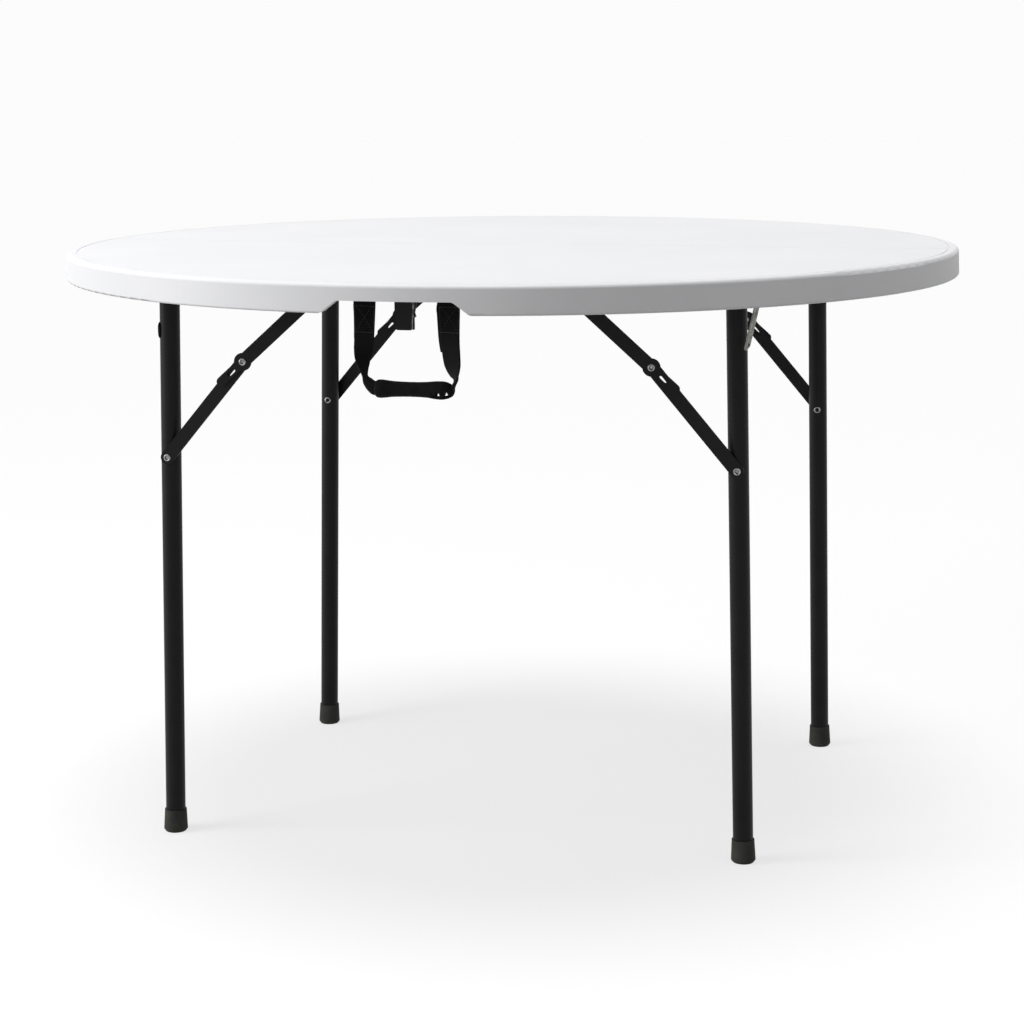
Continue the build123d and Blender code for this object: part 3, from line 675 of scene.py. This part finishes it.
def woven():
    """Webbing: yarns one unit apart in the UV map, crossing over and under."""
    made, nodes, links, shader = new_material("black_webbing", WEB_LIGHT, WEB_ROUGHNESS)
    along_yarns = nodes.new("ShaderNodeTexCoord").outputs["UV"]
    check = nodes.new("ShaderNodeTexChecker")
    set_inputs(check, YARN_SQUARE)
    links.new(along_yarns, check.inputs["Vector"])
    yarns = nodes.new("ShaderNodeMix")
    yarns.data_type = "FLOAT"
    links.new(check.outputs["Fac"], yarns.inputs["Factor"])
    for direction, place in (("X", MIX_FIRST), ("Y", MIX_SECOND)):
        wave = band_wave(nodes, links, direction, YARN_WAVE, along_yarns)
        links.new(wave, yarns.inputs[place])
    vary_colour(nodes, links, shader, yarns.outputs[0], WEB_DARK, WEB_LIGHT, YARN_RANGE)
    fuzz = object_noise(nodes, links, *WEB_FUZZ)
    vary_roughness(nodes, links, shader, fuzz, WEB_FUZZ_ROUGH)
    add_bump(nodes, links, shader, yarns.outputs[0], YARN_BUMP)
    add_bump(nodes, links, shader, fuzz, WEB_FUZZ_BUMP)
    set_inputs(shader, WEB_SHEEN)
    return made


def knitted_cover():
    """Close knitted cover of the grip: fine ribs round it, small loops and a soft nap."""
    made, nodes, links, shader = new_material("knitted_cover", KNIT_COLOUR, KNIT_ROUGHNESS)
    place = nodes.new("ShaderNodeTexCoord").outputs["Object"]
    ribs = band_wave(nodes, links, "X", KNIT_RIBS, place)
    loops = object_noise(nodes, links, *KNIT_LOOPS)
    folds = object_noise(nodes, links, *KNIT_FOLDS)
    vary_colour(nodes, links, shader, folds, KNIT_DARK, KNIT_COLOUR)
    vary_roughness(nodes, links, shader, loops, KNIT_LOOPS_ROUGH)
    add_bump(nodes, links, shader, folds, KNIT_FOLD_BUMP)
    add_bump(nodes, links, shader, ribs, KNIT_RIB_BUMP)
    add_bump(nodes, links, shader, loops, KNIT_LOOP_BUMP)
    set_inputs(shader, KNIT_SHEEN)
    return made


def finish_node(node, material):
    """Gives one carried-over solid its material."""
    slots = frame["nodes"][node].data.materials
    slots.clear()
    slots.append(material)


def finish_cad_nodes():
    """Gives the carried-over solids their materials by the record's slots."""
    by_slot = {slot: plain_material(look) for slot, look in SLOT_LOOKS.items()}
    for entry in frame["record"]["subparts"]:
        made = by_slot.get(entry["material_slot"])
        if made:
            finish_node(entry["node"], made)
    return by_slot


def mesh_object(name, vertices, faces, material, smooth=True):
    """A new piece from its vertices and faces."""
    mesh = bpy.data.meshes.new(name)
    mesh.from_pydata(vertices, [], faces)
    mesh.validate()
    item = bpy.data.objects.new(name, mesh)
    bpy.context.collection.objects.link(item)
    mesh.materials.append(material)
    for face in mesh.polygons:
        face.use_smooth = smooth
    return item


def ring_faces(rings, sides, first=0):
    """Faces between neighbouring rings of vertices, and one over each end."""
    faces = []
    for start in range(first, first + (rings - 1) * sides, sides):
        for side in range(sides):
            a = start + side
            b = start + (side + 1) % sides
            faces.append((a, b, b + sides, a + sides))
    last = first + (rings - 1) * sides
    faces.append(tuple(range(first + sides - 1, first - 1, -1)))
    faces.append(tuple(range(last, last + sides)))
    return faces


def smooth_table(rows, count):
    """Rows at even steps on a smooth curve (Catmull-Rom) through the rows of a table."""
    result = []
    last = len(rows) - 1
    for step in range(count):
        place = step / (count - 1) * last
        low = min(int(place), last - 1)
        part = place - low
        before = rows[max(low - 1, 0)]
        start = rows[low]
        end = rows[low + 1]
        after = rows[min(low + 2, last)]
        row = []
        for a, b, c, d in zip(before, start, end, after):
            bend = 2 * b + (c - a) * part
            bend += (2 * a - 5 * b + 4 * c - d) * part**2
            bend += (3 * b - a - 3 * c + d) * part**3
            row.append(bend / 2)
        result.append(row)
    return result


def signed_power(value, power):
    """A power that keeps the value's sign."""
    return abs(value) ** power * (1 if value > 0 else -1)


def strap_outline(width, thickness):
    """A flat strip with rounded edges, as points about its middle."""
    points = []
    for step in range(STRAP_SIDES):
        angle = tau * step / STRAP_SIDES
        across = signed_power(cos(angle), EDGE_POWER) * width / 2
        points.append((across, signed_power(sin(angle), FACE_POWER) * thickness / 2))
    return points


def with_back_ply(rows, cut_end, slip):
    """Puts before the front ply the one sewn on behind it, from its cut end up, and the loop."""
    back = []
    for x, depth, rise, width, _, twist in reversed(smooth_table(rows, STRAP_RINGS)):
        if rise < cut_end or (back and rise - back[-1][2] < BACK_PLY_STEP):
            continue
        turn = radians(twist)
        across = Vector((cos(turn), sin(turn), 0))
        behind = Vector((-sin(turn), cos(turn), 0))
        place = Vector((x, depth, rise)) + behind * PLY_GAP + across * slip
        back.append((place.x, place.y, rise, width, WEB_PLY, twist))
    x = rows[0][0]
    rod_rise = GRIP_DROP / MM
    loop = [
        (x, LOOP_RADIUS, rod_rise, WEB_WIDTH, WEB_PLY, 0.0),
        (x, 0.0, rod_rise + LOOP_RADIUS, WEB_WIDTH, WEB_PLY, 0.0),
        (x, -LOOP_RADIUS, rod_rise, WEB_WIDTH, WEB_PLY, 0.0),
    ]
    return tuple(back) + tuple(loop) + rows


def strap_frames(rows):
    """Middle, across and outward directions, width and thickness at even steps down a strap."""
    stations = smooth_table(rows, STRAP_RINGS)
    middles = [Vector(station[:3]) for station in stations]
    frames = []
    for index, (_, _, _, width, thickness, twist) in enumerate(stations):
        before = middles[max(index - 1, 0)]
        after = middles[min(index + 1, STRAP_RINGS - 1)]
        along = (after - before).normalized()
        turn = radians(twist)
        across = Vector((cos(turn), sin(turn), 0))
        across = (across - along * across.dot(along)).normalized()
        frames.append((middles[index], across, along.cross(across), width, thickness))
    return frames


def strap_place(point):
    """From millimetres about the middle of the grip to metres in the model's frame."""
    return (point.x * MM, ROD.y + point.y * MM, ROD.z - GRIP_DROP + point.z * MM)


def map_yarns(item, frames):
    """A UV map with one unit to a yarn, across the strap and along it."""
    runs = [0.0]
    for (before, *_), (after, *_) in zip(frames, frames[1:]):
        runs.append(runs[-1] + (after - before).length)
    layer = item.data.uv_layers.new(name="weave")
    for face in item.data.polygons:
        for corner in face.loop_indices:
            ring, side = divmod(item.data.loops[corner].vertex_index, STRAP_SIDES)
            across = (cos(tau * side / STRAP_SIDES) + 1) / 2
            layer.data[corner].uv = (across * STRAP_YARNS, runs[ring] / YARN_RUN)


def strap_mesh(name, frames, material):
    """Webbing over the rod, doubled where it is sewn, then twisted down into the grip."""
    vertices = []
    for middle, across, outward, width, thickness in frames:
        for side, out in strap_outline(width, thickness):
            vertices.append(strap_place(middle + across * side + outward * out))
    item = mesh_object(name, vertices, ring_faces(STRAP_RINGS, STRAP_SIDES), material)
    map_yarns(item, frames)
    return item


def stitches(name, frames, rows, material):
    """Short raised threads on the front ply; rows gives (ring, share of half width, lean)."""
    vertices = []
    faces = []
    for ring, share, lean in rows:
        middle, across, outward, width, thickness = frames[ring]
        along = outward.cross(across)
        place = middle + across * (share * width / 2) + outward * (thickness / 2)
        run = (across * cos(lean) + along * sin(lean)).normalized()
        sideways = outward.cross(run)
        faces += ring_faces(len(STITCH_SWELL), STITCH_SIDES, len(vertices))
        for step, swell in STITCH_SWELL:
            for corner in range(STITCH_SIDES):
                angle = tau * corner / STITCH_SIDES
                spoke = sideways * cos(angle) + outward * sin(angle)
                point = place + run * step * STITCH_HALF + spoke * STITCH_RADIUS * swell
                vertices.append(strap_place(point))
    return mesh_object(name, vertices, faces, material)


def stitch_rows(frames):
    """A sewn box with a cross in it, on the front ply where the strap is doubled."""
    found = []
    span = [
        index
        for index, (middle, *_) in enumerate(frames)
        if middle.y < 0 and BOX_LOW < middle.z < BOX_HIGH
    ]
    first = span[0]
    last = span[-1]
    for step in range(STITCHES_ACROSS):
        share = BOX_REACH * (2 * step / (STITCHES_ACROSS - 1) - 1)
        found += [(ring, share, 0.0) for ring in (first, last)]
    for ring in span:
        share = BOX_REACH * (2 * (ring - first) / (last - first) - 1)
        found += [(ring, side, pi / 2) for side in (-BOX_SIDE, BOX_SIDE)]
        found.append((ring, share, -CROSS_LEAN))
        found.append((ring, -share, CROSS_LEAN))
    return found


def straps():
    """Both straps, each with its stitching."""
    webbing = woven()
    thread = plain_material("sewing_thread")
    for name, rows in (
        ("strap_left", with_back_ply(LEFT_STRAP, LEFT_CUT_END, LEFT_PLY_SLIP)),
        ("strap_right", with_back_ply(RIGHT_STRAP, RIGHT_CUT_END, RIGHT_PLY_SLIP)),
    ):
        line = strap_frames(rows)
        strap = strap_mesh(name, line, webbing)
        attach(strap, "handle")
        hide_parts(f"handle_{name}")
        sewn = stitches(f"stitches_{name}", line, stitch_rows(line), thread)
        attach(sewn, "handle")


def sleeve_mesh(material):
    """The sleeve before it is filled: slimmer at the waist, cut away low at the right end."""
    vertices = []
    for x, radius, cut in smooth_table(SLEEVE_ROWS, SLEEVE_RINGS):
        for side in range(SLEEVE_SIDES):
            angle = tau * side / SLEEVE_SIDES
            lift = cut * max(0.0, -sin(angle)) ** CUT_POWER
            vertices.append(strap_place(Vector((x, cos(angle) * radius, sin(angle) * radius + lift))))
    return mesh_object("grip_sleeve", vertices, ring_faces(SLEEVE_RINGS, SLEEVE_SIDES), material)


def remeshed(item, voxel):
    """Swaps a mesh for an even one of small squares."""
    tool = item.modifiers.new("even", "REMESH")
    tool.mode = "VOXEL"
    tool.voxel_size = voxel
    graph = bpy.context.evaluated_depsgraph_get()
    even = bpy.data.meshes.new_from_object(item.evaluated_get(graph))
    old = item.data
    even.materials.clear()
    even.materials.append(old.materials[0])
    item.modifiers.clear()
    item.data = even
    item.data.name = item.name
    bpy.data.meshes.remove(old)


def add_cloth(item, pressure):
    """Cloth with pressure inside and no gravity, held where the group called seams says."""
    cloth = item.modifiers.new("filling", "CLOTH")
    for name, value in CLOTH.items():
        setattr(cloth.settings, name, value)
    cloth.settings.use_pressure = True
    cloth.settings.uniform_pressure_force = pressure
    cloth.settings.effector_weights.gravity = 0
    cloth.settings.vertex_group_mass = "seams"
    cloth.collision_settings.use_collision = False


def filled(item, pinned, pressure, cap):
    """Blows the cloth up from inside, held along its seams, and keeps the result in the mesh."""
    start = [vertex.co.copy() for vertex in item.data.vertices]
    group = item.vertex_groups.new(name="seams")
    group.add([index for index, place in enumerate(start) if pinned(place)], 1.0, "REPLACE")
    add_cloth(item, pressure)
    scene = bpy.context.scene
    for frame_number in range(1, FILL_FRAMES + 1):
        scene.frame_set(frame_number)
    graph = bpy.context.evaluated_depsgraph_get()
    moved = [vertex.co.copy() for vertex in item.evaluated_get(graph).data.vertices]
    item.modifiers.clear()
    scene.frame_set(1)
    for vertex, before, after in zip(item.data.vertices, start, moved):
        step = after - before
        if step.length > cap:
            step *= cap / step.length
        vertex.co = before + step


def grip_sleeve(material):
    """Foam sleeve in a cloth cover, sewn together along its lower back and gathered at the ends."""
    item = sleeve_mesh(material)
    remeshed(item, SLEEVE_VOXEL * MM)
    middle = Vector(strap_place(Vector((0, 0, 0))))

    def pinned(place):
        x, back, rise = (place - middle) / MM
        low = -rise
        on_seam = low > 0 and back > 0 and abs(low - back) < SEAM_HALF
        gathered = x < LEFT_GATHER
        cut_away = x > RIGHT_CUT_START and low > RIGHT_CUT_TOP
        return on_seam or gathered or cut_away

    filled(item, pinned, FILL_PRESSURE, FILL_CAP * MM)
    for vertex in item.data.vertices:
        place = vertex.co - middle
        if pinned(vertex.co) and abs(place.x) < SEAM_REACH * MM:
            vertex.co -= Vector((0, place.y, place.z)).normalized() * SEAM_PULL * MM
    for face in item.data.polygons:
        face.use_smooth = True
    finer = item.modifiers.new("finer", "SUBSURF")
    finer.levels = 1
    finer.render_levels = 1
    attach(item, "handle")
    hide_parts("handle_grip")


def box_middle(node):
    """The middle of a node's box at rest."""
    low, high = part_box(node)
    return (Vector(low) + Vector(high)) / 2


def turned_mesh(name, profile, place, axis, material):
    """A turned piece: profile gives (radius, run along the axis) pairs in millimetres."""
    axis = Vector(axis).normalized()
    across = axis.orthogonal().normalized()
    up = axis.cross(across)
    vertices = []
    for radius, run in profile:
        for side in range(RIVET_SIDES):
            angle = tau * side / RIVET_SIDES
            spoke = across * cos(angle) + up * sin(angle)
            vertices.append(Vector(place) + (spoke * radius + axis * run) * MM)
    return mesh_object(name, vertices, ring_faces(len(profile), RIVET_SIDES), material)


def rivet_profile(inner, outer, through):
    """Shank with a rolled head at outer, and one at inner too where the rivet goes right through."""
    if through:
        start = [(radius, inner - rise) for radius, rise in reversed(RIVET_HEAD)]
    else:
        start = [(RIVET_CORE, inner)]
    shank = [(RIVET_SHANK, inner), (RIVET_SHANK, outer)]
    return start + shank + [(radius, outer + rise) for radius, rise in RIVET_HEAD]


def rivets(material):
    """Hollow rivets at the leg and the knee of each brace."""
    through = rivet_profile(-TUBE_RADIUS + FAR_HEAD_SUNK, LOWER_LINK_FACE, True)
    short = rivet_profile(UPPER_LINK_INNER, UPPER_LINK_OUTER, False)
    for corner in ("fl", "fr", "bl", "br"):
        outward = (0, -1, 0) if corner[0] == "f" else (0, 1, 0)
        tube_y = box_middle(f"leg_tube_{corner}").y
        for kind, profile, body in (
            ("brace_rivet", through, f"leg_{corner}"),
            ("knee_rivet", short, f"upper_link_{corner}"),
        ):
            node = f"{kind}_{corner}"
            place = box_middle(node)
            place.y = tube_y
            item = turned_mesh(f"rolled_{node}", profile, place, outward, material)
            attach(item, body)
            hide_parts(node)
        item = turned_mesh(f"knee_tail_{corner}", KNEE_TAIL, place, outward, material)
        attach(item, f"lower_link_{corner}")


def leg_bumper(corner, side, material):
    """Rounded rubber stop on a leg, thickest in the middle of its height; side is the outer one."""
    node = f"leg_pad_{corner}"
    low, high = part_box(node)
    middle = box_middle(node)
    reach = (Vector(high) - Vector(low)) / 2
    vertices = []
    for ring in range(BUMPER_RINGS + 1):
        rise = signed_power(-cos(pi * ring / BUMPER_RINGS), BUMPER_POWER)
        swell = max(BUMPER_END_SHARE, 1 - rise**BUMPER_END_POWER) ** 0.5
        for step in range(BUMPER_SIDES):
            angle = tau * step / BUMPER_SIDES
            proud = BUMPER_PROUD if cos(angle) * side > 0 else 1.0
            out = cos(angle) * reach.x * proud * swell
            across = signed_power(sin(angle), BUMPER_POWER) * reach.y * swell
            vertices.append(middle + Vector((out, across, rise * reach.z)))
    faces = ring_faces(BUMPER_RINGS + 1, BUMPER_SIDES)
    item = mesh_object(f"bumper_{corner}", vertices, faces, material)
    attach(item, f"leg_{corner}")
    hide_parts(node)


def lip_mesh(name, strips, front, back, material):
    """A thin strip with softened front edges; strips gives (height, low X, high X) up it."""
    low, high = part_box("latch_plate")
    middle = (low[0] + high[0]) / 2
    tip = low[2]
    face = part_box("latch_strip")[1][1]
    vertices = []
    for rise, start, end in strips:
        section = (
            (start, back),
            (start, -front + LIP_EDGE),
            (start + LIP_EDGE, -front),
            (end - LIP_EDGE, -front),
            (end, -front + LIP_EDGE),
            (end, back),
        )
        for x, depth in section:
            vertices.append((middle + x * MM, face + depth * MM, tip + rise * MM))
    faces = ring_faces(len(strips), len(section))
    return mesh_object(name, vertices, faces, material, smooth=False)


def latch_lip(bright, dark):
    """Painted highlight along the latch plate's edge, and its dark fold, in place of the plain strip.
    """
    edge_rows = [(rise, start, end) for rise, start, end, _ in LATCH_LIP_ROWS]
    fold_rows = [(rise, start, end) for rise, _, start, end in LATCH_LIP_ROWS]
    edge = lip_mesh("latch_edge", edge_rows, LIP_FRONT, LIP_BACK, bright)
    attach(edge, "front_half")
    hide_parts("latch_strip")
    fold = lip_mesh("latch_fold", fold_rows, LIP_EDGE, FOLD_BACK, dark)
    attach(fold, "front_half")


camera()
world()
floor()
far_lamp("overhead", OVERHEAD_STRENGTH, OVERHEAD_SPREAD, OVERHEAD_TURN, OVERHEAD_RISE)
far_lamp("side", SIDE_STRENGTH, SIDE_SPREAD, SIDE_TURN, SIDE_RISE)
panel_lamp()
materials = finish_cad_nodes()
straps()
grip_sleeve(knitted_cover())
rivets(plain_material("dull_zinc"))
wire = plain_material("drawn_wire")
for half in ("front", "back"):
    finish_node(f"keeper_wire_{half}", wire)
stop_rubber = plain_material("stop_rubber")
for corner, side in STOPPED_LEGS:
    leg_bumper(corner, side, stop_rubber)
# The latch plate's lighter edge is a painted highlight on that corner
latch_lip(plain_material("painted_edge_highlight"), materials["black_paint"])

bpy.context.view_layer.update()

scene = bpy.context.scene
scene.view_settings.view_transform = "Standard"
